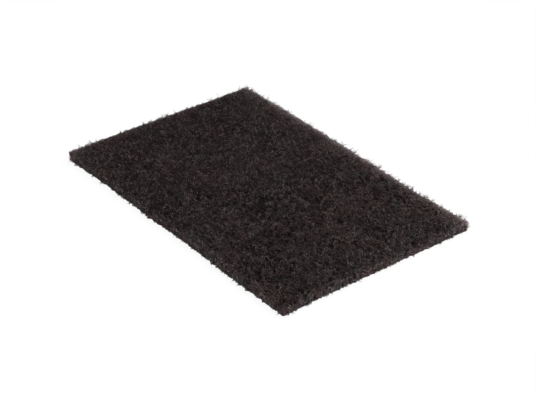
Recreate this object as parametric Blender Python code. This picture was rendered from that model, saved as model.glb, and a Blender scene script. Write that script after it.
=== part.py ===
"""A non-woven abrasive hand pad, modelled at full size in metres with +Z up.

The pad is one thick web of crimped, grit-coated fibres, cut from a roll with a straight blade.
It lies flat. Its origin is in the middle of its underside, its length runs along X and its width
along Y. The web's broad faces are a tangle of tufts with open pits between them, and its four cut
edges wander a little, bulge at mid height and round over where they meet the broad faces.
"""

import math

import bmesh
import bpy
from mathutils import Vector, noise

MM = 0.001

# Overall size
LENGTH = 230 * MM
WIDTH = 150 * MM
THICKNESS = 7 * MM

# Rim: how the four cut faces and their corners are shaped
CORNER_RADIUS = 1.6 * MM
SHOULDER_WIDTH = 2.4 * MM
RIM_TUCK = 0.7 * MM
RIM_SQUARENESS = 4
RIM_TOP_DROP = 0.3 * MM
RIM_FOOT_LIFT = 0.4 * MM
RIM_TUFT = 0.6 * MM
RIM_PIT_SHARE = 0.3
RIM_TUFT_PITCH = 4.5 * MM

# How far each cut strays outwards from its ruled line, at even steps along the edge.
# The long edges are read from -X to +X and the short edges from -Y to +Y.
NEAR_LONG_CUT = (0.9 * MM, -0.5 * MM, -0.3 * MM, -1.0 * MM, -0.4 * MM, -0.4 * MM)
FAR_LONG_CUT = (-0.7 * MM, 0.3 * MM, 0.3 * MM, -0.1 * MM, -1.1 * MM, 0.5 * MM)
LEFT_SHORT_CUT = (0.5 * MM, 0.4 * MM, 0.5 * MM, 0.1 * MM, -0.4 * MM, -0.2 * MM)
RIGHT_SHORT_CUT = (1.0 * MM, 0.0 * MM, -0.1 * MM, -0.1 * MM, -0.3 * MM, -0.4 * MM)

# Upper face: tufts, the pits between them, and the slow change in loft across the web
TUFT_PITCH = 9.5 * MM
PIT_DEPTH = 1.2 * MM
FINE_TUFT_PITCH = 5.2 * MM
FINE_PIT_DEPTH = 0.7 * MM
LOFT_PITCH = 60 * MM
LOFT_SAG = 0.35 * MM

# Underside: shallower pits. A patch in the middle and a band inside the rim are pressed flat.
UNDER_PIT_DEPTH = 0.9 * MM
FLAT_BAND_WIDTH = 3.8 * MM
FLAT_BAND_FADE = 5 * MM
FLAT_PATCH_LENGTH = 34 * MM
FLAT_PATCH_WIDTH = 26 * MM
FLAT_PATCH_FADE = 12 * MM

# Mesh cells along the length, across the width and up the cut faces
LENGTH_CELLS = 61
WIDTH_CELLS = 40
RIM_CELLS = 4

# Ridges: how far they curl and over what stretch, as shares of their pitch, and how far their
# flanks spread
CURL = 0.9
CURLS_PER_PITCH = 0.7
RIDGE_SPREAD = 0.42

# Where each pattern is read in the noise field, so that no two of them line up
TUFT_SEED = 0.31
FINE_TUFT_SEED = 4.7
LOFT_SEED = 9.2
UNDER_SEED = 7.9
RIM_SEED = 3.3

WEB_COLOUR = (0.030, 0.024, 0.024, 1.0)
WEB_ROUGHNESS = 0.95


def clear_scene():
    """Remove every object, so that the pad is alone in the scene."""
    for old in list(bpy.data.objects):
        bpy.data.objects.remove(old, do_unlink=True)


def web_material():
    """Dark charcoal fibre and resin: rough and not metallic."""
    material = bpy.data.materials.new("charcoal_web")
    material.use_nodes = True
    shader = material.node_tree.nodes["Principled BSDF"]
    shader.inputs["Base Color"].default_value = WEB_COLOUR
    shader.inputs["Roughness"].default_value = WEB_ROUGHNESS
    shader.inputs["Metallic"].default_value = 0.0
    material.diffuse_color = WEB_COLOUR
    return material


def smooth_step(value):
    """0 below 0, 1 above 1, and an even S-curve between."""
    value = min(max(value, 0.0), 1.0)
    return value * value * (3.0 - 2.0 * value)


def cut_stray(cut, share):
    """How far a cut edge strays at share, from 0 to 1, of the way along it."""
    place = min(max(share, 0.0), 1.0) * (len(cut) - 1)
    before = min(int(place), len(cut) - 2)
    blend = smooth_step(place - before)
    return cut[before] * (1.0 - blend) + cut[before + 1] * blend


def ridges(x, y, pitch, seed):
    """Height from 0 to 1 of curling, branching ridges that lie about one pitch apart."""
    place = Vector((x / pitch, y / pitch, seed))
    curled = place + CURL * noise.noise_vector(place * CURLS_PER_PITCH)
    return 1.0 - min(abs(noise.noise(curled)) / RIDGE_SPREAD, 1.0)


def upper_depth(x, y):
    """How far the upper face lies below the pad's full thickness."""
    coarse = PIT_DEPTH * (1.0 - ridges(x, y, TUFT_PITCH, TUFT_SEED))
    fine = FINE_PIT_DEPTH * (1.0 - ridges(x, y, FINE_TUFT_PITCH, FINE_TUFT_SEED))
    place = Vector((x / LOFT_PITCH, y / LOFT_PITCH, LOFT_SEED))
    sag = LOFT_SAG * smooth_step(0.5 + noise.noise(place))
    return coarse + fine + sag


def under_rise(x, y):
    """How far the underside lies above the surface that the pad rests on."""
    beyond_x = (abs(x) - FLAT_PATCH_LENGTH / 2) / FLAT_PATCH_FADE
    beyond_y = (abs(y) - FLAT_PATCH_WIDTH / 2) / FLAT_PATCH_FADE
    inside_rim = min(LENGTH / 2 - abs(x), WIDTH / 2 - abs(y)) - FLAT_BAND_WIDTH
    open_web = smooth_step(max(beyond_x, beyond_y)) * smooth_step(inside_rim / FLAT_BAND_FADE)
    return open_web * UNDER_PIT_DEPTH * (1.0 - ridges(x, y, TUFT_PITCH, UNDER_SEED))


def station(step, cells, half):
    """Place of grid line number step: a narrow shoulder cell at each end, even cells between."""
    if step == 0:
        return -half
    if step == cells:
        return half
    return (half - SHOULDER_WIDTH) * (2.0 * (step - 1) / (cells - 2) - 1.0)


def plan_place(i, j):
    """Plan position of grid point i, j, before its rim is tucked in and tufted."""
    x = station(i, LENGTH_CELLS, LENGTH / 2)
    y = station(j, WIDTH_CELLS, WIDTH / 2)
    along = x / LENGTH + 0.5
    across = y / WIDTH + 0.5
    right = along * cut_stray(RIGHT_SHORT_CUT, across)
    left = (1.0 - along) * cut_stray(LEFT_SHORT_CUT, across)
    far = across * cut_stray(FAR_LONG_CUT, along)
    near = (1.0 - across) * cut_stray(NEAR_LONG_CUT, along)
    return x + right - left, y + far - near


def rim_normal(i, j):
    """Outward direction of the rim at grid point i, j: zero inside, diagonal at a corner."""
    x = (i == LENGTH_CELLS) - (i == 0)
    y = (j == WIDTH_CELLS) - (j == 0)
    return Vector((x, y, 0.0))


def rim_offset(x, y, layer):
    """How far the cut face stands out at a layer from 0 at its foot to RIM_CELLS at its top.

    It is drawn in at its foot and its top by an even power of the height, and tufted all over.
    """
    height = layer / RIM_CELLS
    tuck = RIM_TUCK * (2.0 * height - 1.0) ** RIM_SQUARENESS
    place = Vector((x, y, height * THICKNESS)) / RIM_TUFT_PITCH
    place.z += RIM_SEED
    return RIM_TUFT * noise.noise(place) - tuck


def web_point(i, j, layer):
    """Final position of one point of the web from its place in the grid."""
    x, y = plan_place(i, j)
    outwards = rim_normal(i, j)
    if outwards.length == 0.0:
        if layer == 0:
            return Vector((x, y, under_rise(x, y)))
        return Vector((x, y, THICKNESS - upper_depth(x, y)))
    offset = rim_offset(x, y, layer)
    if outwards.length > 1.0:
        offset -= CORNER_RADIUS * (1.0 - math.sqrt(0.5))
    foot = RIM_FOOT_LIFT
    top = THICKNESS - RIM_TOP_DROP - RIM_PIT_SHARE * upper_depth(x, y)
    z = foot + (top - foot) * layer / RIM_CELLS
    return Vector((x, y, z)) + outwards * offset


def grid_place(point):
    """Grid numbers i, j of a point of the sheet, which spans -1 to 1 both ways."""
    i = round((point.co.x + 1.0) / 2.0 * LENGTH_CELLS)
    j = round((point.co.y + 1.0) / 2.0 * WIDTH_CELLS)
    return i, j


def raise_sheet(web):
    """A flat grid of faces is the underside, and is raised layer by layer into a closed slab.

    Returns the grid place (i, j, layer) of each point.
    """
    sheet = bmesh.ops.create_grid(
        web, x_segments=LENGTH_CELLS, y_segments=WIDTH_CELLS, size=1.0
    )
    places = {point: (*grid_place(point), 0) for point in sheet["verts"]}
    faces = list(web.faces)
    for layer in range(1, RIM_CELLS + 1):
        raised = bmesh.ops.extrude_face_region(web, geom=faces)
        if layer > 1:
            bmesh.ops.delete(web, geom=faces, context="FACES_KEEP_BOUNDARY")
        points = [g for g in raised["geom"] if isinstance(g, bmesh.types.BMVert)]
        faces = [g for g in raised["geom"] if isinstance(g, bmesh.types.BMFace)]
        for point in points:
            places[point] = (*grid_place(point), layer)
    return {point: place for point, place in places.items() if point.is_valid}


def centre_on_underside(web):
    """Move the web so that the origin is in the middle of its underside."""
    xs = [point.co.x for point in web.verts]
    ys = [point.co.y for point in web.verts]
    middle = Vector(((min(xs) + max(xs)) / 2, (min(ys) + max(ys)) / 2, 0.0))
    bmesh.ops.translate(web, vec=-middle, verts=web.verts)


def fibre_pad():
    """The whole pad: one closed web with tufted faces and wandering cut edges."""
    web = bmesh.new()
    for point, (i, j, layer) in raise_sheet(web).items():
        point.co = web_point(i, j, layer)
    centre_on_underside(web)
    bmesh.ops.recalc_face_normals(web, faces=web.faces)
    mesh = bpy.data.meshes.new("fibre_pad")
    web.to_mesh(mesh)
    web.free()
    mesh.shade_smooth()
    mesh.materials.append(web_material())
    pad = bpy.data.objects.new("fibre_pad", mesh)
    bpy.context.scene.collection.objects.link(pad)
    return pad


clear_scene()
fibre_pad()
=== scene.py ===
"""Looks of a non-woven abrasive hand pad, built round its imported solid. Metres, +Z up.

The pad is a lofty web of crimped nylon fibres, bonded with dark resin and grit, and cut to a
rectangle. The web's own body is one closed relief of curling ridges and pits. Single fibres lie on
it, dive in and out of it, run along its cut edges and stand out of them as fuzz.
"""

import math

import bpy
import numpy as np
from mathutils import Matrix, Vector


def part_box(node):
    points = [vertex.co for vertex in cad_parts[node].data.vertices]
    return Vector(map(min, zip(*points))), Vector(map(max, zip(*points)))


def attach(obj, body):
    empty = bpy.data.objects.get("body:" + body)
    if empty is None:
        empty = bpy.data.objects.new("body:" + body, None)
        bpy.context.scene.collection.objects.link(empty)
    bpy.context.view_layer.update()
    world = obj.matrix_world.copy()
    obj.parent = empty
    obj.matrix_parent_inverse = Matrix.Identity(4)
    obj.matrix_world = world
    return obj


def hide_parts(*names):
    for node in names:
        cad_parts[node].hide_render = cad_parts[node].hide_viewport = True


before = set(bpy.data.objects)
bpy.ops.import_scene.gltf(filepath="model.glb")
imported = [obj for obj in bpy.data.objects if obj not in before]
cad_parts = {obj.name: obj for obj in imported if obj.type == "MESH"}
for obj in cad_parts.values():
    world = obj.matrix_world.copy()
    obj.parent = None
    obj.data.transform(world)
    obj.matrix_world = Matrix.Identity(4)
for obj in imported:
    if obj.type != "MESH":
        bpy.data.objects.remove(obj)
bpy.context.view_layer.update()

MM = 0.001
FULL_TURN = 2.0 * np.pi
TINY = 1e-9
PAD = "fibre_pad"

# The cut rectangle and its rim, as the solid has them. How far each cut strays outwards is given
# at even steps along it, from -X to +X on the long cuts and from -Y to +Y on the short ones.
LENGTH = 230 * MM
WIDTH = 150 * MM
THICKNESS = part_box(PAD)[1].z
CORNER_RADIUS = 1.6 * MM
NEAR_LONG_CUT = np.array((0.9, -0.5, -0.3, -1.0, -0.4, -0.4)) * MM
FAR_LONG_CUT = np.array((-0.7, 0.3, 0.3, -0.1, -1.1, 0.5)) * MM
LEFT_SHORT_CUT = np.array((0.5, 0.4, 0.5, 0.1, -0.4, -0.2)) * MM
RIGHT_SHORT_CUT = np.array((1.0, 0.0, -0.1, -0.1, -0.3, -0.4)) * MM

# Camera, fitted to the pad's corners in the photograph's frame of 536 x 402
CAMERA_AZIMUTH = math.radians(52.0)
CAMERA_ELEVATION = math.radians(31.9)
CAMERA_DISTANCE = 1.1438
CAMERA_LENS = 117.5
CAMERA_SENSOR = 36.0
CAMERA_ASIDE = 3.66 * MM
CAMERA_RAISE = -7.27 * MM
CAMERA_CLIP = 0.05, 50.0

# Noise: lattice corners before it repeats, the shift that keeps its places positive, and its gain
LATTICE = 256
LATTICE_SHIFT = 1024.0
NOISE_GAIN = 1.5

# Ridges: how far they curl and over what stretch, in pitches, and how far their flanks spread
RIDGE_CURL = 0.9
CURL_STRETCH = 1.4
RIDGE_SPREAD = 0.5

# Patterns of the web: the reach or depth, the pitch and the noise seed of each
COARSE_PITS = 0.36 * MM, 8.0 * MM, 11
MIDDLE_PITS = 0.75 * MM, 2.8 * MM, 23
SMALL_PITS = 0.6 * MM, 1.8 * MM, 37
CROWN_SAG = 0.15 * MM, 55 * MM, 41
UNDER_COARSE_PITS = 0.5 * MM, 7.0 * MM, 53
UNDER_MIDDLE_PITS = 0.5 * MM, 3.2 * MM, 67
RIM_LAYERS = 0.65 * MM, 1.9 * MM, 71
RIM_TUFTS = 0.6 * MM, 4.2 * MM, 73
RIM_TEAR = 1.5 * MM, 2.5 * MM, 79
RIM_WANDER = 0.5 * MM, 7 * MM, 83

# Grain: the way that most of the fibres lie, from the length, how much longer patterns are along
# it and shorter across it, and how strongly it draws the fibres' headings
GRAIN = math.radians(-22.0)
GRAIN_DRAW = 1.25
GRAIN_BIAS = 0.55

# Upper face: the pits' depth at the left end and what it gains by the right one, their share that
# is left at the cuts, and how far in that share fades
LEFT_LOFT = 0.72
LOFT_GAIN = 0.36
RIM_PIT_SHARE = 0.6
RIM_PIT_FADE = 4 * MM

# Underside: its height over the floor, the patch pressed flat and the fades of its pits
UNDER_HEIGHT = 0.12 * MM
FLAT_PATCH_LENGTH = 34 * MM
FLAT_PATCH_WIDTH = 26 * MM
FLAT_PATCH_FADE = 12 * MM
UNDER_PIT_FADE = 6 * MM

# Body: cells along, across and up the rim, the shoulders between its broad and its cut faces, and
# the power of the height by which the cut faces bulge
LENGTH_CELLS = 262
WIDTH_CELLS = 171
RIM_ROWS = 8
SHOULDER_WIDTH = 2.2 * MM
SHOULDER_LIMIT = 1.4
SHOULDER_DROP = 0.35 * MM
FOOT_LIFT = 0.3 * MM
RIM_BULGE = 0.45 * MM
BULGE_POWER = 6

# Painted shade of the body: the depths that count as full and the deepest share of them that is
# shaded further, and how much paler its cut faces are painted, partly for their paler cut ends and
# partly as painted light on them
CROWN_FULL_DEPTH = 1.5 * MM
FULL_DEPTH = 1.2 * MM
BODY_DEEPEST = 0.95
CUT_PALENESS_AND_LIGHT = 0.1

# Paleness and painted light at the cuts: how pale they are all over, partly for their paler cut
# ends and partly as painted light, the painted light from the floor at their foot, how pale the
# left one is along its crown and the painted backlight along the crown of the far one, how far in
# these reach, and where up the thickness the crown starts and its span
RIM_PALENESS_AND_LIGHT, RIM_REACH = 0.2, 1.8 * MM
FOOT_PAINTED_LIGHT, FOOT_REACH = 1.3, 0.9 * MM
LEFT_CROWN_PALENESS = 1.25
FAR_CROWN_PAINTED_LIGHT, FAR_REACH = 1.95, 3.3 * MM
CROWN_START, CROWN_SPAN = 0.7, 0.25

# How pale the two corners on the long diagonal are and how far in that reaches, the painted light
# from the right and back that grows towards the far right corner and the right end by S-curves
# over the whole pad, the painted shade on the right cut, and how much darker the whole web is
LEFT_TIP_PALENESS, RIGHT_TIP_PALENESS, TIP_REACH = 0.95, 0.65, 6 * MM
CORNER_PAINTED_LIGHT, CORNER_START, CORNER_ALONG, CORNER_ACROSS = 0.1, 0.3, 0.8, 0.9
RIGHT_END_PAINTED_LIGHT = 0.2
RIGHT_CUT_SHADE = 0.13
EVEN_SHADE = 0.17

# Every fibre: the ranges of its waves, swing and length as factors, the part of its points (one in
# three) that it is dropped without, the sides of its tube, the share of its way that goes up when
# it counts as steep, the lumps along it, how it thins towards its ends, and how much painted shade
# it takes where it lies deep
WAVES_RANGE = 0.8, 1.25
SWING_RANGE = 0.5, 1.3
LENGTH_RANGE = 0.7, 1.2
SHORTEST_PART = 3
SIDES = 3
STEEP = 0.8
LUMP_SIZE = 0.22
LUMP_TURNS = 8.0, 26.0
LUMP_PHASE = 0.0, 6.28
END_TAPER, END_POWER = 0.45, 12
FIBRE_SHADE, FIBRE_DEEPEST = 1.5, 0.85

# Fibres laid on the broad faces: how many are strewn for each one kept and how far past the cuts,
# where the blade leaves them, and how they follow the relief, weave through it and dive in
STREWN_SHARE = 1.4
STREWN_PAST = 4 * MM
OVERHANG = -0.2, 0.6
LAID_DRIFT = 0.7
WEAVE_PITCH = 4.2 * MM
WEAVE_RANGE = 0.7, 1.3
RELIEF_SPREAD = 0.25 * MM
FINE_SHARE = 0.6
LIFT_SPREAD = 0.2 * MM
END_DIVE, DIVE_POWER = 0.5 * MM, 6
LAID_FULL_DEPTH = 2.2 * MM
LAID_THICKNESS = 0.75, 1.25
LAID_CLEARANCE = 1.4

# Fibres in the cut faces: their crimp, the room below and above them, how they rise, sway in and
# out and round over at the foot and the crown, and the farthest that one is moved to the rim
CURL_CRIMP = 1.4
CURL_PITCH = 4.5 * MM
CURL_DRIFT = 0.9
EDGE_CLEARANCE = 1.5
CROWN_ROOM = 0.5 * MM
CURL_RISE = 0.8
SWAY, SWAY_RANGE = 0.4 * MM, (0.8, 2.0)
CURL_OUT = 0.05 * MM, 0.25 * MM
ROUND_OVER, ROUND_POWER = 0.4 * MM, 4
FARTHEST_MOVE = 6 * MM
CURL_DEPTH = 0.3
CURL_THICKNESS = 0.7, 1.25

# Fuzz: how many more tufts the far cut has, the share of them near the crown on the near and
# right cuts and on the other two, where their roots are, their sizes, and how their fibres spread
MORE_FAR = 0.9
NEAR_CROWN_SHARE, FAR_CROWN_SHARE = 0.3, 0.6
EDGE_INSET, EDGE_SPREAD = 0.3 * MM, 1.0 * MM
ROOT_DEPTH, ROOT_SPREAD = 0.2 * MM, 0.3 * MM
TUFT_SIZE, FAR_TUFT_GAIN, LEFT_TUFT_GAIN = 0.9, 0.6, 0.95
SHORTEST_TUFT = 0.3
LEAN_SPREAD, CONE_SPREAD, BEND_SPREAD = 0.5, 0.45, 0.8
FUZZ_RANGE = 0.5, 1.1
FUZZ_RISE = 1.2 * MM
FUZZ_THICKNESS = 0.6, 1.2

# Tones of each finish, from its darkest to its palest: place on the ramp and linear colour
FACE_TONES = (
    (0.0, (0.0020, 0.0010, 0.0010)), (0.143, (0.0125, 0.0078, 0.0078)),
    (0.286, (0.0400, 0.0284, 0.0284)), (0.429, (0.073, 0.0540, 0.0540)),
    (0.586, (0.106, 0.0810, 0.0810)), (0.714, (0.175, 0.140, 0.140)),
    (1.0, (0.320, 0.275, 0.275)))
# The cut edge's tones are paler, partly for its paler cut ends and partly as painted light on the
# cuts and their fuzz
RIM_TONES = (
    (0.043, (0.027, 0.0187, 0.0187)), (0.179, (0.048, 0.0355, 0.0355)),
    (0.314, (0.078, 0.0595, 0.0595)), (0.471, (0.120, 0.094, 0.094)),
    (0.714, (0.260, 0.220, 0.220)), (1.0, (0.380, 0.335, 0.335)))
# The body's tones are darker than the fibres', as painted shade deep in the web
BODY_TONES = (
    (0.0, (0.0013, 0.0006, 0.0006)), (0.14, (0.0080, 0.0049, 0.0049)),
    (0.32, (0.0400, 0.0285, 0.0285)), (0.7, (0.095, 0.072, 0.072)),
    (1.0, (0.250, 0.210, 0.210)))
WARM_AND_COOL = ((0.38, (1.05, 0.97, 0.96)), (0.62, (0.95, 1.02, 1.02)))
TINT_PITCH = 12 * MM

# Fibre finish: what its own tone, its mottle and its painted depth shade and light weigh, and what
# is taken off their sum
FIBRE_WEIGHTS = 0.536, 1.536, -0.30
FIBRE_LESS = 0.725
MOTTLE_PITCH = 0.7 * MM
GRIT_PITCH, GRIT_HEIGHT = 0.2 * MM, 0.04 * MM

# Body finish: what its strands, its mottle and its painted depth shade and light weigh, and what
# is taken off their sum
BODY_WEIGHTS = 0.20, 0.80, -0.40
BODY_LESS = 0.20
BODY_MOTTLE_PITCH = 0.9 * MM
STRAND_PITCH, STRAND_WIDTH, STRAND_HEIGHT = 1.3 * MM, 0.22, 0.3 * MM
STRAND_CURL, STRAND_CURL_SCALE = 2.2, 0.7

# Studio: the floor's paper and size, how white it shows near the pad, the ring in which it turns
# pure white, the world's light on the pad, and each softbox's place, side and strength
PAPER = (0.85, 0.85, 0.85, 1.0)
FLOOR_HALF = 4.0
FLOOR_NEAR_WHITE = 0.91
FLOOR_FADE = 0.16, 0.40
WORLD_LIGHT = 0.45
WHITE = (1.0, 1.0, 1.0, 1.0)
SOFTBOXES = {
    "top_softbox": ((0.2, 0.5, 1.5), 1.2, 13.0),
    "right_softbox": ((0.9, 0.6, 1.1), 0.9, 12.5),
    "left_softbox": ((-0.4, -1.4, 0.8), 0.9, 4.2),
}


def smooth_step(value):
    """0 below 0, 1 above 1, and the cubic S-curve 3v^2 - 2v^3 between."""
    value = np.clip(value, 0.0, 1.0)
    return value * value * (3.0 - 2.0 * value)


def fading(inside, reach):
    """1 at a cut and outside it, and the exponential of minus the way inside over the reach."""
    return np.exp(-np.maximum(inside, 0.0) / reach)


def felt_noise(x, y, pitch, seed):
    """Even noise from about -1 to 1.

    Each corner of a square lattice, one pitch apart, has a random slope. A place takes the height
    that each of its four corners' slopes gives there, blended by the quintic S-curve.
    """
    turn = np.random.default_rng(seed).uniform(0.0, FULL_TURN, (LATTICE, LATTICE))
    slope_x, slope_y = np.cos(turn), np.sin(turn)
    u, v = x / pitch + LATTICE_SHIFT, y / pitch + LATTICE_SHIFT
    i, j = np.floor(u).astype(int), np.floor(v).astype(int)
    u, v = u - i, v - j
    blend_u = u**3 * (u * (6.0 * u - 15.0) + 10.0)
    blend_v = v**3 * (v * (6.0 * v - 15.0) + 10.0)

    def corner(di, dj):
        at = (i + di) % LATTICE, (j + dj) % LATTICE
        return slope_x[at] * (u - di) + slope_y[at] * (v - dj)

    near = corner(0, 0) * (1.0 - blend_u) + corner(1, 0) * blend_u
    far = corner(0, 1) * (1.0 - blend_u) + corner(1, 1) * blend_u
    return NOISE_GAIN * (near * (1.0 - blend_v) + far * blend_v)


def swell(x, y, pattern):
    """Even noise from about minus a pattern's reach to plus it."""
    reach, pitch, seed = pattern
    return reach * felt_noise(x, y, pitch, seed)


def pitted(x, y, pattern):
    """Depth below curling crests: none on them and all of a pattern's depth away from them.

    The place is first pushed about by two slower noises, which makes the crests curl. A crest is
    where the noise there passes through zero, and its flanks fall as far as that noise grows.
    """
    depth, pitch, seed = pattern
    push_x = felt_noise(x, y, pitch * CURL_STRETCH, seed + 1) * RIDGE_CURL * pitch
    push_y = felt_noise(x, y, pitch * CURL_STRETCH, seed + 2) * RIDGE_CURL * pitch
    height = np.abs(felt_noise(x + push_x, y + push_y, pitch, seed))
    return depth * np.clip(height / RIDGE_SPREAD, 0.0, 1.0)


def stray(cut, share):
    """How far a cut strays at a share of the way along it: its steps joined by S-curves."""
    place = np.clip(share, 0.0, 1.0) * (len(cut) - 1)
    before = np.minimum(place.astype(int), len(cut) - 2)
    blend = smooth_step(place - before)
    return cut[before] * (1.0 - blend) + cut[before + 1] * blend


def past_cut(x, y):
    """Distance outside the cut outline, negative inside it: that of a rectangle whose four sides
    stray and whose corners are rounded."""
    along, across = x / LENGTH + 0.5, y / WIDTH + 0.5
    side_x = np.where(x > 0, stray(RIGHT_SHORT_CUT, across), stray(LEFT_SHORT_CUT, across))
    side_y = np.where(y > 0, stray(FAR_LONG_CUT, along), stray(NEAR_LONG_CUT, along))
    over_x = np.abs(x) - LENGTH / 2 - side_x + CORNER_RADIUS
    over_y = np.abs(y) - WIDTH / 2 - side_y + CORNER_RADIUS
    corner = np.hypot(np.maximum(over_x, 0.0), np.maximum(over_y, 0.0))
    return corner + np.minimum(np.maximum(over_x, over_y), 0.0) - CORNER_RADIUS


def torn(x, y):
    """How far the blade tore the rim out or in at a place on its ruled line: fine noise along it
    and a slower one added."""
    return swell(x, y, RIM_TEAR) + swell(x, y, RIM_WANDER)


def frayed(x, y, z):
    """How much paler the web is painted, falling off as exponentials of the way in: partly its
    paler cut ends, mostly painted light, and some painted shade.

    It is paler along every cut, partly for its cut ends and partly as painted light, and most at
    its foot, as painted light from the floor. It is paler along the crown of the left short cut
    and, as painted backlight, more so along that of the far long one, and paler at the two corners
    on the long diagonal. Painted light from the right and back makes it a little paler towards the
    right end and the far right corner by S-curves, painted shade makes it darker on the right
    short cut, and it is darker towards the left end, where its pits are shallow.
    """
    rim = fading(-past_cut(x, y), RIM_REACH)
    foot = fading(z, FOOT_REACH)
    left, right = fading(LENGTH / 2 + x, RIM_REACH), fading(LENGTH / 2 - x, RIM_REACH)
    far = fading(WIDTH / 2 - y, FAR_REACH)
    crown = smooth_step((z / THICKNESS - CROWN_START) / CROWN_SPAN)
    from_corner = np.hypot(LENGTH / 2 - np.abs(x), WIDTH / 2 - np.abs(y))
    tip_paleness = (x * y > 0) * np.where(x > 0, RIGHT_TIP_PALENESS, LEFT_TIP_PALENESS)
    # Painted light from the right and back, growing towards the far right corner and the right end
    corner = smooth_step(CORNER_START + CORNER_ALONG * x / LENGTH + CORNER_ACROSS * y / WIDTH)
    right_end = smooth_step(0.5 + x / LENGTH)
    # Paler cut ends and painted light along every cut, painted floor light at their foot, and
    # painted backlight along the far crown
    cuts = (RIM_PALENESS_AND_LIGHT + FOOT_PAINTED_LIGHT * foot) * rim + (LEFT_CROWN_PALENESS * left + FAR_CROWN_PAINTED_LIGHT * far) * crown
    tips = tip_paleness * fading(from_corner, TIP_REACH)
    ends = CORNER_PAINTED_LIGHT * corner + RIGHT_END_PAINTED_LIGHT * right_end
    # The right cut takes painted shade
    return cuts + tips + ends - RIGHT_CUT_SHADE * right - EVEN_SHADE


def with_grain(x, y):
    """Places along and across the grain, closer together along it and farther apart across it, so
    that a pattern read there is drawn out along it."""
    along = (x * math.cos(GRAIN) + y * math.sin(GRAIN)) / GRAIN_DRAW
    across = (y * math.cos(GRAIN) - x * math.sin(GRAIN)) * GRAIN_DRAW
    return along, across


def rolled(past):
    """How far a broad face has rolled over its shoulder: the square of the way into it, which is 0
    where the shoulder starts and 1 at the cut, and goes on a little where the rim is torn out."""
    return np.clip(1.0 + past / SHOULDER_WIDTH, 0.0, SHOULDER_LIMIT) ** 2


def crown_z(x, y, fine=1.0):
    """Height of the upper face: the full thickness less coarse, middle and small pits, a slow sag
    and its roll at the shoulder. The pits are drawn out along the grain, and grow shallower from
    the right short edge to the left one and towards all the cuts, by S-curves."""
    u, v = with_grain(x, y)
    coarse, middle, small = (pitted(u, v, p) for p in (COARSE_PITS, MIDDLE_PITS, SMALL_PITS))
    past = past_cut(x, y)
    inside = RIM_PIT_SHARE + (1.0 - RIM_PIT_SHARE) * smooth_step(-past / RIM_PIT_FADE)
    loft = LEFT_LOFT + LOFT_GAIN * smooth_step(0.5 + x / LENGTH)
    pits = inside * loft * (coarse + fine * (middle + small))
    return THICKNESS - pits - swell(x, y, CROWN_SAG) - SHOULDER_DROP * rolled(past)


def foot_z(x, y, fine=1.0):
    """Height of the underside: shallow pits, and its roll up at the shoulder. The pits fade out by
    S-curves on the patch pressed flat in the middle and towards the cuts."""
    beyond_x = (np.abs(x) - FLAT_PATCH_LENGTH / 2) / FLAT_PATCH_FADE
    beyond_y = (np.abs(y) - FLAT_PATCH_WIDTH / 2) / FLAT_PATCH_FADE
    past = past_cut(x, y)
    open_web = smooth_step(np.maximum(beyond_x, beyond_y)) * smooth_step(-past / UNDER_PIT_FADE)
    coarse, middle = pitted(x, y, UNDER_COARSE_PITS), pitted(x, y, UNDER_MIDDLE_PITS)
    return UNDER_HEIGHT + open_web * (coarse + fine * middle) + FOOT_LIFT * rolled(past)


def plan_grid():
    """Plan places of the body's grid, and at its rim the direction outwards.

    It is a square grid pushed out to the stray of its four sides, whose square corners are drawn
    in to quarter circles. Its outermost cells are torn in and out by noise that grows from nothing
    to its full reach at the rim.
    """
    shares = np.linspace(0.0, 1.0, LENGTH_CELLS + 1), np.linspace(0.0, 1.0, WIDTH_CELLS + 1)
    a, b = np.meshgrid(*shares, indexing="ij")
    x, y = (a - 0.5) * LENGTH, (b - 0.5) * WIDTH
    core_x, core_y = LENGTH / 2 - CORNER_RADIUS, WIDTH / 2 - CORNER_RADIUS
    over_x, over_y = np.maximum(np.abs(x) - core_x, 0.0), np.maximum(np.abs(y) - core_y, 0.0)
    reach = np.hypot(over_x, over_y)
    divisor = np.where(reach > 0.0, reach, 1.0)
    draw = np.where(reach > 0.0, np.maximum(over_x, over_y) / divisor, 1.0)
    x = np.sign(x) * (np.minimum(np.abs(x), core_x) + over_x * draw)
    y = np.sign(y) * (np.minimum(np.abs(y), core_y) + over_y * draw)
    out_x, out_y = np.sign(x) * over_x / divisor, np.sign(y) * over_y / divisor
    tear = torn(x, y) * np.minimum(reach / CORNER_RADIUS, 1.0)
    x = x + a * stray(RIGHT_SHORT_CUT, b) - (1.0 - a) * stray(LEFT_SHORT_CUT, b) + out_x * tear
    y = y + b * stray(FAR_LONG_CUT, a) - (1.0 - b) * stray(NEAR_LONG_CUT, a) + out_y * tear
    return x, y, out_x, out_y


def rim_loop():
    """Grid numbers i, j of the points round the rim, once round and anticlockwise from above."""
    i, j = np.arange(LENGTH_CELLS), np.arange(WIDTH_CELLS)
    loop_i = (i, np.full_like(j, LENGTH_CELLS), LENGTH_CELLS - i, np.zeros_like(j))
    loop_j = (np.zeros_like(i), j, np.full_like(i, WIDTH_CELLS), WIDTH_CELLS - j)
    return np.concatenate(loop_i), np.concatenate(loop_j)


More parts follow.
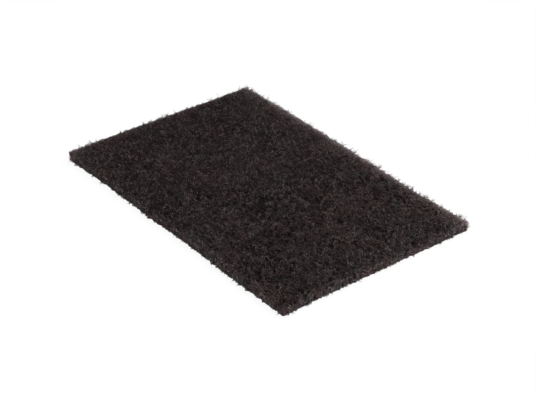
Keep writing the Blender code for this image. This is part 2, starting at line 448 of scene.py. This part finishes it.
def rim_band(rim_x, rim_y, nx, ny, rim_top, rim_foot):
    """Points of the cut faces, row over row from the foot to the crown, and how far their tufts
    stand out.

    A row bulges by 1 less an even power of its height from -1 to 1. Two noises along the rim and
    up it are added, times the sine of the height.
    """
    step = np.hypot(np.diff(rim_x, append=rim_x[:1]), np.diff(rim_y, append=rim_y[:1]))
    up = (np.arange(RIM_ROWS) + 1.0)[:, None] / (RIM_ROWS + 1.0)
    z = rim_foot + (rim_top - rim_foot) * up
    way = np.cumsum(step) + 0.0 * z
    bulge = RIM_BULGE * (1.0 - (2.0 * up - 1.0) ** BULGE_POWER)
    tufts = swell(way, z, RIM_LAYERS) + swell(way, z, RIM_TUFTS)
    out = bulge + tufts * np.sin(np.pi * up)
    return np.stack((rim_x + nx * out, rim_y + ny * out, z), axis=2), tufts


def quads_between(lower, upper):
    """Quads of a closed band between two loops of point numbers, facing away from its inside."""
    return np.stack((lower, np.roll(lower, -1), np.roll(upper, -1), upper), axis=1)


def piece_from(name, points, faces, finish, **attributes):
    """A mesh object from an array of points and lists of faces, shaded smooth, with one number a
    point for each named attribute."""
    mesh = bpy.data.meshes.new(name)
    mesh.from_pydata(points, [], faces)
    for label, values in attributes.items():
        held = mesh.attributes.new(label, "FLOAT", "POINT")
        held.data.foreach_set("value", np.ascontiguousarray(values, dtype=np.float32))
    mesh.shade_smooth()
    mesh.materials.append(finish)
    mesh.update()
    piece = bpy.data.objects.new(name, mesh)
    bpy.context.scene.collection.objects.link(piece)
    return piece


def painted_depth_shade(depth):
    """Painted shade of a place in the body, for the light that its depth keeps out: the square of
    its depth, as a share of the full one.
    """
    return np.minimum(depth, BODY_DEEPEST) ** 2


def web_body(finish):
    """The web's closed body: an upper and an under grid on one plan, joined by the cut faces. It
    carries at each point a painted shade by how deep it lies, less its paleness and painted light."""
    x, y, out_x, out_y = plan_grid()
    top, foot = crown_z(x, y), foot_z(x, y)
    at_rim = rim_loop()
    band, tufts = rim_band(*(held[at_rim] for held in (x, y, out_x, out_y, top, foot)))
    points = np.concatenate([
        np.stack((x, y, top), axis=2).reshape(-1, 3),
        np.stack((x, y, foot), axis=2).reshape(-1, 3),
        band.reshape(-1, 3),
    ])
    numbers = np.arange(x.size).reshape(x.shape)
    corners = numbers[:-1, :-1], numbers[1:, :-1], numbers[1:, 1:], numbers[:-1, 1:]
    upper_quads = np.stack([corner.ravel() for corner in corners], axis=1)
    under_quads = upper_quads[:, ::-1] + x.size
    loop = numbers[at_rim]
    band_row = 2 * x.size + np.arange(len(loop))
    rows = [loop + x.size, *(band_row + row * len(loop) for row in range(RIM_ROWS)), loop]
    rim_quads = [quads_between(lower, upper) for lower, upper in zip(rows, rows[1:])]
    faces = np.concatenate([upper_quads, under_quads, *rim_quads]).tolist()
    # Painted shade by depth, less the paleness and painted light, carried at every point
    crown_pit = painted_depth_shade((THICKNESS - top) / CROWN_FULL_DEPTH) - frayed(x, y, top)
    # Cut faces: painted shade where their tufts sink in, paler where they stand out, and painted
    # paler all over
    cut_pit = -CUT_PALENESS_AND_LIGHT - tufts / FULL_DEPTH - frayed(*np.moveaxis(band, 2, 0))
    pits = np.concatenate((crown_pit.ravel(), painted_depth_shade(foot / FULL_DEPTH).ravel(), cut_pit.ravel()))
    return piece_from("web_body", points, faces, finish, pit=pits)


def crimped_walk(rng, count, points, length, crimp, waves, drift, bias=0.0):
    """Plan shapes of fibres that start at zero: even steps along a heading that starts anywhere,
    drifts evenly and swings as a sine wave. A bias draws the headings towards the grain by the
    sine of twice their angle to it."""
    share = np.linspace(0.0, 1.0, points)[None, :]
    heading = rng.uniform(0.0, FULL_TURN, (count, 1))
    heading = heading - 0.5 * bias * np.sin(2.0 * (heading - GRAIN))
    heading = heading + rng.normal(0.0, drift, (count, 1)) * share
    turns = rng.uniform(*WAVES_RANGE, (count, 1)) * waves
    phase = rng.uniform(0.0, FULL_TURN, (count, 1))
    swing = rng.uniform(*SWING_RANGE, (count, 1)) * crimp
    heading = heading + swing * np.sin(FULL_TURN * turns * share + phase)
    step = length * rng.uniform(*LENGTH_RANGE, (count, 1)) / (points - 1)
    x = np.cumsum(np.cos(heading) * step, axis=1)
    y = np.cumsum(np.sin(heading) * step, axis=1)
    middle = points // 2
    return x - x[:, middle, None], y - y[:, middle, None]


def trimmed(path, kept):
    """Each fibre laid out again over the first part of its own path: point k reads the path at k
    times its kept share, between the two nearest of its points."""
    points = path.shape[1]
    place = np.arange(points)[None, :] * kept[:, None]
    before = np.minimum(place.astype(int), points - 2)
    blend = (place - before)[..., None]
    start = np.take_along_axis(path, before[..., None], axis=1)
    end = np.take_along_axis(path, before[..., None] + 1, axis=1)
    return start * (1.0 - blend) + end * blend


def cut_at_rim(path, overhang):
    """The fibres as the blade leaves them: each ends where it first passes the outline by its
    overhang, and one that would be left with under a third of its points is dropped."""
    points = path.shape[1]
    outside = past_cut(path[..., 0], path[..., 1]) > overhang[:, None]
    last = np.where(outside.any(axis=1), outside.argmax(axis=1), points) - 1
    keep = last >= points // SHORTEST_PART
    kept = np.minimum(last, points - 1) / (points - 1)
    return trimmed(path[keep], kept[keep])


def fibre_tubes(path, radius):
    """Closed tubes round fibre paths: at each point a ring of even angles on two directions square
    to the path, with a flat end at both ends. Returns points, quads and end faces."""
    count, points, _ = path.shape
    run = np.gradient(path, axis=1)
    run /= np.maximum(np.linalg.norm(run, axis=2, keepdims=True), TINY)
    whole = path[:, -1] - path[:, 0]
    steep = np.abs(whole[:, 2]) > STEEP * np.linalg.norm(whole, axis=1)
    guide = np.where(steep[:, None], (1.0, 0.0, 0.0), (0.0, 0.0, 1.0))[:, None, :]
    aside = np.cross(run, guide)
    aside /= np.maximum(np.linalg.norm(aside, axis=2, keepdims=True), TINY)
    above = np.cross(aside, run)
    angle = FULL_TURN * np.arange(SIDES) / SIDES
    ring = aside[:, :, None, :] * np.cos(angle)[None, None, :, None]
    ring = ring + above[:, :, None, :] * np.sin(angle)[None, None, :, None]
    places = path[:, :, None, :] + ring * radius[:, :, None, None]
    numbers = np.arange(count * points * SIDES).reshape(count, points, SIDES)
    here, after = numbers[:, :-1], numbers[:, 1:]
    corners = here, np.roll(here, -1, axis=2), np.roll(after, -1, axis=2), after
    ends = np.concatenate((numbers[:, 0, ::-1], numbers[:, -1]))
    return places.reshape(-1, 3), np.stack(corners, axis=3).reshape(-1, 4), ends


def fibre_piece(name, path, radius, finish, rng, depth):
    """One piece of many fibres. Each fibre's thickness swells and thins along it as a sine wave,
    and its ends are drawn in by a power of the way from its middle. It carries one random tone
    from 0 to 1, and at each point a painted shade, the square of how deep it lies in the web, less
    its paleness and painted light there."""
    count, points, _ = path.shape
    share = np.linspace(0.0, 1.0, points)[None, :]
    lumps = 1.0 + LUMP_SIZE * np.sin(rng.uniform(*LUMP_TURNS, (count, 1)) * share
                                     + rng.uniform(*LUMP_PHASE, (count, 1)))
    ends = 1.0 - END_TAPER * np.abs(2.0 * share - 1.0) ** END_POWER
    places, quads, caps = fibre_tubes(path, radius[:, None] * lumps * ends)
    tone = np.repeat(rng.uniform(0.0, 1.0, count), places.shape[0] // count)
    shade = FIBRE_SHADE * np.clip(depth, 0.0, FIBRE_DEEPEST) ** 2
    pit = (shade - frayed(*np.moveaxis(path, 2, 0))).ravel()
    pit = np.repeat(pit, places.shape[0] // pit.size)
    return piece_from(name, places, quads.tolist() + caps.tolist(), finish, tone=tone, pit=pit)


def laid_fibres(name, finish, seed, count, points, length, radius, lift, weave, crimp, upper=True):
    """Fibres strewn over a broad face, most thickly where the web stands high. Each follows the
    face's relief at its own lift, and weaves up and down through it as a sine wave whose ends dive
    in by a power of the way from its middle."""
    rng = np.random.default_rng(seed)
    strewn = int(count * STREWN_SHARE)
    waves = length / WEAVE_PITCH
    x, y = crimped_walk(rng, strewn, points, length, crimp, waves, LAID_DRIFT, GRAIN_BIAS)
    x += rng.uniform(-0.5, 0.5, (strewn, 1)) * (LENGTH + STREWN_PAST)
    y += rng.uniform(-0.5, 0.5, (strewn, 1)) * (WIDTH + STREWN_PAST)
    path = cut_at_rim(np.stack((x, y, 0.0 * x), axis=2), rng.uniform(*OVERHANG, strewn) * MM)
    height = crown_z(path[..., 0], path[..., 1]).mean(axis=1)
    path = path[np.argsort(rng.normal(0.0, RELIEF_SPREAD, len(path)) - height)[:count]]
    count = len(path)
    share = np.linspace(0.0, 1.0, points)[None, :]
    wave = np.sin(FULL_TURN * waves * share * rng.uniform(*WEAVE_RANGE, (count, 1))
                  + rng.uniform(0.0, FULL_TURN, (count, 1)))
    above = rng.normal(lift, LIFT_SPREAD, (count, 1)) + weave * wave
    above = above - END_DIVE * np.abs(2.0 * share - 1.0) ** DIVE_POWER
    # depth: how deep the fibre lies in the web, painted on it as shade
    if upper:
        path[..., 2] = crown_z(path[..., 0], path[..., 1], FINE_SHARE) + above
        depth = (THICKNESS - path[..., 2]) / LAID_FULL_DEPTH
    else:
        under = foot_z(path[..., 0], path[..., 1], FINE_SHARE) - above
        path[..., 2] = np.maximum(under, radius * LAID_CLEARANCE)
        depth = path[..., 2] / FULL_DEPTH
    sizes = radius * rng.uniform(*LAID_THICKNESS, count)
    return fibre_piece(name, path, sizes, finish, rng, depth)


def rim_place(rng, count, more_far=0.0):
    """Random places on the rim's ruled line and their outward directions: an even way along its
    four sides in turn. The far long edge has more of them, by a share of its own length."""
    perimeter = 2.0 * (LENGTH + WIDTH)
    way = rng.uniform(0.0, perimeter + more_far * LENGTH, count)
    way = np.where(way < perimeter, way, LENGTH + WIDTH + (way - perimeter) / max(more_far, TINY))
    marks = np.array((LENGTH, LENGTH + WIDTH, 2.0 * LENGTH + WIDTH))
    side = np.searchsorted(marks, way)
    local = way - np.concatenate(((0.0,), marks))[side]
    half_x, half_y = LENGTH / 2 + 0.0 * local, WIDTH / 2 + 0.0 * local
    x = np.choose(side, (local - half_x, half_x, half_x - local, -half_x))
    y = np.choose(side, (-half_y, local - half_y, half_y, half_y - local))
    return x, y, np.array((0.0, 1.0, 0.0, -1.0))[side], np.array((-1.0, 0.0, 1.0, 0.0))[side]


def rim_curls(name, finish, seed, count, points, length, radius):
    """Fibres that lie in the cut faces. Each is a crimped walk along the rim and up it, turned
    back where it would pass the floor or the crown, and sways in and out as a sine wave."""
    rng = np.random.default_rng(seed)
    x, y, nx, ny = (held[:, None] for held in rim_place(rng, count))
    waves = length / CURL_PITCH
    along, rise = crimped_walk(rng, count, points, length, CURL_CRIMP, waves, CURL_DRIFT)
    low, high = radius * EDGE_CLEARANCE, THICKNESS - CROWN_ROOM
    z = rng.uniform(low, high, (count, 1)) + CURL_RISE * rise
    z = high - np.abs(high - low - np.abs(z - low))
    share = np.linspace(0.0, 1.0, points)[None, :]
    sway = np.sin(FULL_TURN * rng.uniform(*SWAY_RANGE, (count, 1)) * share
                  + rng.uniform(0.0, FULL_TURN, (count, 1)))
    x, y = x - ny * along, y + nx * along
    out = rng.normal(*CURL_OUT, (count, 1)) + SWAY * sway
    round_over = ROUND_OVER * np.abs(2.0 * z / THICKNESS - 1.0) ** ROUND_POWER
    gap = past_cut(x, y) - (RIM_BULGE + torn(x, y) + out - round_over)
    keep = np.abs(gap).max(axis=1) < FARTHEST_MOVE
    path = np.stack((x - nx * gap, y - ny * gap, z), axis=2)[keep]
    # Painted shade: a curl that lies farther in is darker
    depth = CURL_DEPTH - out[keep] / FULL_DEPTH
    sizes = radius * rng.uniform(*CURL_THICKNESS, len(path))
    return fibre_piece(name, path, sizes, finish, rng, depth)


def rim_fuzz(name, finish, seed, tufts, each, points, reach, radius):
    """Cut fibre ends that stand out of the rim in small tufts near its crown and its foot: most of
    them at the foot on the right short and near long edges, and at the crown on the other two,
    where they are longer.

    Each tuft has its own lean and size, whose squares make a few long ones among many short. Its
    fibres leave in a narrow cone round its lean and bend away as quadratic curves.
    """
    rng = np.random.default_rng(seed)
    x, y, nx, ny = rim_place(rng, tufts, MORE_FAR)
    off_edge = EDGE_INSET + np.abs(rng.normal(0.0, EDGE_SPREAD, tufts))
    crown_share = np.where((nx > 0.5) | (ny < -0.5), NEAR_CROWN_SHARE, FAR_CROWN_SHARE)
    at_crown = rng.uniform(0.0, 1.0, tufts) < crown_share
    z = np.where(at_crown, THICKNESS - off_edge, off_edge)
    out = np.stack((nx, ny, 0.0 * nx), axis=1)
    lean = out + rng.normal(0.0, LEAN_SPREAD, (tufts, 3))
    lean[:, 2] = np.where((ny > 0.5) & at_crown, np.abs(lean[:, 2]), lean[:, 2])
    away = TUFT_SIZE + FAR_TUFT_GAIN * (ny > 0.5) + LEFT_TUFT_GAIN * (nx < -0.5)
    size = reach * (SHORTEST_TUFT + rng.uniform(0.0, 1.0, (tufts, 1)) ** 2) * away[:, None]
    gap = past_cut(x, y) - torn(x, y)
    start = np.stack((x - nx * gap, y - ny * gap, z), axis=1) - out * ROOT_DEPTH
    start, out, lean, size = (np.repeat(held, each, axis=0) for held in (start, out, lean, size))
    count = tufts * each
    along = np.stack((-out[:, 1], out[:, 0], 0.0 * out[:, 0]), axis=1)
    start = start + along * rng.normal(0.0, ROOT_SPREAD, (count, 1))
    start[:, 2] += rng.normal(0.0, ROOT_SPREAD, count)
    way = lean + rng.normal(0.0, CONE_SPREAD, (count, 3))
    way /= np.linalg.norm(way, axis=1, keepdims=True)
    bend = rng.normal(0.0, BEND_SPREAD, (count, 3))
    share = np.linspace(0.0, 1.0, points)[None, :, None]
    curve = way[:, None] * share + bend[:, None] * share**2 * 0.5
    path = start[:, None] + curve * (size * rng.uniform(*FUZZ_RANGE, (count, 1)))[:, None]
    path[..., 2] = np.clip(path[..., 2], radius * EDGE_CLEARANCE, THICKNESS + FUZZ_RISE)
    sizes = radius * rng.uniform(*FUZZ_THICKNESS, count)
    return fibre_piece(name, path, sizes, finish, rng, np.zeros((count, points)))


def new_finish(name, roughness, specular):
    """A material with a Principled shader, and its tree and shader."""
    finish = bpy.data.materials.new(name)
    finish.use_nodes = True
    tree = finish.node_tree
    shader = tree.nodes["Principled BSDF"]
    shader.inputs["Roughness"].default_value = roughness
    shader.inputs["Specular IOR Level"].default_value = specular
    return finish, tree, shader


def add_node(tree, kind, **values):
    """A node of a kind, with some of its inputs set by name."""
    node = tree.nodes.new(kind)
    for label, value in values.items():
        node.inputs[label].default_value = value
    return node


def carried(tree, label):
    """The number that the mesh carries at each of its points under this label."""
    node = tree.nodes.new("ShaderNodeAttribute")
    node.attribute_name = label
    return node.outputs["Fac"]


def object_noise(tree, pitch, detail=2.0, roughness=0.5):
    """Noise on the piece's own coordinates, with features about one pitch across."""
    place = tree.nodes.new("ShaderNodeTexCoord")
    noise = add_node(
        tree, "ShaderNodeTexNoise", Scale=1.0 / pitch, Detail=detail, Roughness=roughness)
    tree.links.new(place.outputs["Object"], noise.inputs["Vector"])
    return noise.outputs["Fac"]


def ranged(tree, source, start, end, shape="LINEAR"):
    """A number carried from one range to another and held at its ends, straight or by an
    S-curve."""
    node = tree.nodes.new("ShaderNodeMapRange")
    node.interpolation_type = shape
    for label, value in zip(("From Min", "From Max", "To Min", "To Max"), (*start, *end)):
        node.inputs[label].default_value = value
    tree.links.new(source, node.inputs["Value"])
    return node.outputs["Result"]


def colour_steps(tree, source, steps):
    """A colour ramp over (position, colour) steps."""
    ramp = tree.nodes.new("ShaderNodeValToRGB")
    while len(ramp.color_ramp.elements) < len(steps):
        ramp.color_ramp.elements.new(0.5)
    for element, (position, colour) in zip(ramp.color_ramp.elements, steps):
        element.position = position
        element.color = (*colour, 1.0)
    tree.links.new(source, ramp.inputs["Fac"])
    return ramp.outputs["Color"]


def weighed(tree, sources, weights, less):
    """A sum of sources, each times its own fixed weight, less a fixed number."""
    total = None
    for source, weight in zip(sources, weights):
        step = tree.nodes.new("ShaderNodeMath")
        step.operation = "MULTIPLY_ADD"
        step.inputs[1].default_value = weight
        step.inputs[2].default_value = -less
        tree.links.new(source, step.inputs[0])
        if total is not None:
            tree.links.new(total, step.inputs[2])
        total = step.outputs["Value"]
    return total


def tinted(tree, colour):
    """A colour multiplied by a tint that drifts between warm and cool patches of the web."""
    tint = colour_steps(tree, object_noise(tree, TINT_PITCH), WARM_AND_COOL)
    mix = tree.nodes.new("ShaderNodeMix")
    mix.data_type = "RGBA"
    mix.blend_type = "MULTIPLY"
    mix.inputs["Factor"].default_value = 1.0
    tree.links.new(colour, mix.inputs["A"])
    tree.links.new(tint, mix.inputs["B"])
    return mix.outputs["Result"]


def raised(tree, shader, source, height):
    """A source that stands out of the surface by up to height, as a bump."""
    bump = add_node(tree, "ShaderNodeBump", Strength=1.0, Distance=height)
    tree.links.new(source, bump.inputs["Height"])
    tree.links.new(bump.outputs["Normal"], shader.inputs["Normal"])


def strand_net(tree, pitch, width):
    """A tangled net of strands, 1 along them and 0 between: the borders of cells one pitch across,
    whose places are first pushed about by noise so that the borders curl."""
    place = tree.nodes.new("ShaderNodeTexCoord")
    push = add_node(tree, "ShaderNodeTexNoise", Scale=STRAND_CURL_SCALE / pitch, Detail=1.0)
    mix = tree.nodes.new("ShaderNodeVectorMath")
    mix.operation = "MULTIPLY_ADD"
    mix.inputs[1].default_value = (STRAND_CURL * pitch,) * 3
    tree.links.new(place.outputs["Object"], push.inputs["Vector"])
    tree.links.new(push.outputs["Color"], mix.inputs[0])
    tree.links.new(place.outputs["Object"], mix.inputs[2])
    cells = add_node(tree, "ShaderNodeTexVoronoi", Scale=1.0 / pitch)
    cells.feature = "DISTANCE_TO_EDGE"
    tree.links.new(mix.outputs["Vector"], cells.inputs["Vector"])
    return ranged(tree, cells.outputs["Distance"], (0.0, width), (1.0, 0.0), "SMOOTHSTEP")


def fibre_finish(name, tones):
    """Resin-coated fibre: a tone of its own for each fibre, with painted shade where it lies deep
    and paleness and painted light at the cuts, mottled along it by resin and grit."""
    finish, tree, shader = new_finish(name, roughness=0.7, specular=0.25)
    sources = carried(tree, "tone"), object_noise(tree, MOTTLE_PITCH), carried(tree, "pit")
    level = weighed(tree, sources, FIBRE_WEIGHTS, FIBRE_LESS)
    colour = tinted(tree, colour_steps(tree, level, tones))
    tree.links.new(colour, shader.inputs["Base Color"])
    grit = object_noise(tree, GRIT_PITCH, detail=3.0, roughness=0.6)
    raised(tree, shader, grit, GRIT_HEIGHT)
    return finish


def body_finish(name, tones):
    """The web's depth: a net of matted strands, with painted shade in its pits and lighter on its
    crests, in tones darker than the fibres' as painted shade deep in the web.
    """
    finish, tree, shader = new_finish(name, roughness=0.95, specular=0.08)
    strands = strand_net(tree, STRAND_PITCH, STRAND_WIDTH)
    mottle = object_noise(tree, BODY_MOTTLE_PITCH, detail=3.0, roughness=0.65)
    level = weighed(tree, (strands, mottle, carried(tree, "pit")), BODY_WEIGHTS, BODY_LESS)
    colour = tinted(tree, colour_steps(tree, level, tones))
    tree.links.new(colour, shader.inputs["Base Color"])
    raised(tree, shader, strands, STRAND_HEIGHT)
    return finish


def build_pad():
    """Every piece of the pad, in place of its plain solid."""
    face = fibre_finish("crimped_face_fibre", FACE_TONES)
    rim = fibre_finish("cut_edge_fibre", RIM_TONES)
    body = body_finish("matted_web", BODY_TONES)
    pieces = [
        web_body(body),
        laid_fibres("crown_fibres", face, seed=101, count=2240, points=14, length=10 * MM,
                    radius=0.16 * MM, lift=0.1 * MM, weave=0.75 * MM, crimp=1.2),
        laid_fibres("deep_fibres", face, seed=102, count=2240, points=14, length=10 * MM,
                    radius=0.18 * MM, lift=-0.1 * MM, weave=0.75 * MM, crimp=1.2),
        laid_fibres("loop_fibres", face, seed=106, count=2600, points=12, length=7 * MM,
                    radius=0.16 * MM, lift=0.1 * MM, weave=0.85 * MM, crimp=1.9),
        laid_fibres("under_fibres", face, seed=103, count=700, points=12, length=12 * MM,
                    radius=0.2 * MM, lift=0.1 * MM, weave=0.2 * MM, crimp=1.1, upper=False),
        rim_curls("rim_fibres", rim, seed=104, count=1350, points=9, length=5 * MM,
                  radius=0.19 * MM),
        rim_fuzz("rim_fuzz", rim, seed=105, tufts=1000, each=7, points=4, reach=1.5 * MM,
                 radius=0.12 * MM),
    ]
    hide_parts(PAD)
    for piece in pieces:
        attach(piece, "root")


def placed(name, data):
    """An object in the scene that holds this data."""
    thing = bpy.data.objects.new(name, data)
    bpy.context.scene.collection.objects.link(thing)
    return thing


def camera_in_place():
    """The camera looks straight along the fitted direction, from beside the line to the middle."""
    a, e = CAMERA_AZIMUTH, CAMERA_ELEVATION
    back = Vector((math.sin(a) * math.cos(e), -math.cos(a) * math.cos(e), math.sin(e)))
    right = Vector((math.cos(a), math.sin(a), 0.0))
    up = back.cross(right)
    data = bpy.data.cameras.new("camera")
    data.lens = CAMERA_LENS
    data.sensor_width = CAMERA_SENSOR
    data.clip_start, data.clip_end = CAMERA_CLIP
    camera = placed("camera", data)
    place = Vector((0.0, 0.0, THICKNESS / 2)) + back * CAMERA_DISTANCE
    place += right * CAMERA_ASIDE + up * CAMERA_RAISE
    turned = Matrix((right, up, back)).transposed().to_4x4()
    camera.matrix_world = Matrix.Translation(place) @ turned
    bpy.context.scene.camera = camera


def floor_finish():
    """White paper that keeps a faint shadow near the pad, and shows pure white to the camera
    farther out."""
    finish = bpy.data.materials.new("studio_floor")
    finish.use_nodes = True
    tree = finish.node_tree
    tree.nodes.clear()
    paper = add_node(tree, "ShaderNodeBsdfDiffuse", Color=PAPER)
    glow = add_node(tree, "ShaderNodeEmission", Color=WHITE, Strength=1.0)
    place = tree.nodes.new("ShaderNodeTexCoord")
    way = tree.nodes.new("ShaderNodeVectorMath")
    way.operation = "LENGTH"
    tree.links.new(place.outputs["Object"], way.inputs[0])
    white = ranged(tree, way.outputs["Value"], FLOOR_FADE, (FLOOR_NEAR_WHITE, 1.0))
    path = tree.nodes.new("ShaderNodeLightPath")
    share = tree.nodes.new("ShaderNodeMath")
    share.operation = "MULTIPLY"
    tree.links.new(path.outputs["Is Camera Ray"], share.inputs[0])
    tree.links.new(white, share.inputs[1])
    mix = tree.nodes.new("ShaderNodeMixShader")
    tree.links.new(share.outputs["Value"], mix.inputs["Fac"])
    tree.links.new(paper.outputs["BSDF"], mix.inputs[1])
    tree.links.new(glow.outputs["Emission"], mix.inputs[2])
    out = tree.nodes.new("ShaderNodeOutputMaterial")
    tree.links.new(mix.outputs["Shader"], out.inputs["Surface"])
    return finish


def studio():
    """A white floor, a white world behind it, and soft light from above and from both sides of
    the camera."""
    mesh = bpy.data.meshes.new("floor")
    half = FLOOR_HALF
    mesh.from_pydata(
        [(-half, -half, 0.0), (half, -half, 0.0), (half, half, 0.0), (-half, half, 0.0)],
        [], [(0, 1, 2, 3)])
    mesh.materials.append(floor_finish())
    floor = placed("floor", mesh)

    world = bpy.data.worlds.new("studio")
    world.use_nodes = True
    bpy.context.scene.world = world
    tree = world.node_tree
    sky = tree.nodes["Background"]
    sky.inputs["Color"].default_value = WHITE
    path = tree.nodes.new("ShaderNodeLightPath")
    level = ranged(tree, path.outputs["Is Camera Ray"], (0.0, 1.0), (WORLD_LIGHT, 1.0))
    tree.links.new(level, sky.inputs["Strength"])

    for name, (place, side, strength) in SOFTBOXES.items():
        data = bpy.data.lights.new(name, "AREA")
        data.shape = "SQUARE"
        data.size = side
        data.energy = strength
        lamp = placed(name, data)
        lamp.location = place
        lamp.rotation_euler = Vector(place).to_track_quat("Z", "Y").to_euler()
    bpy.context.scene.view_settings.view_transform = "Standard"


camera_in_place()
studio()
build_pad()
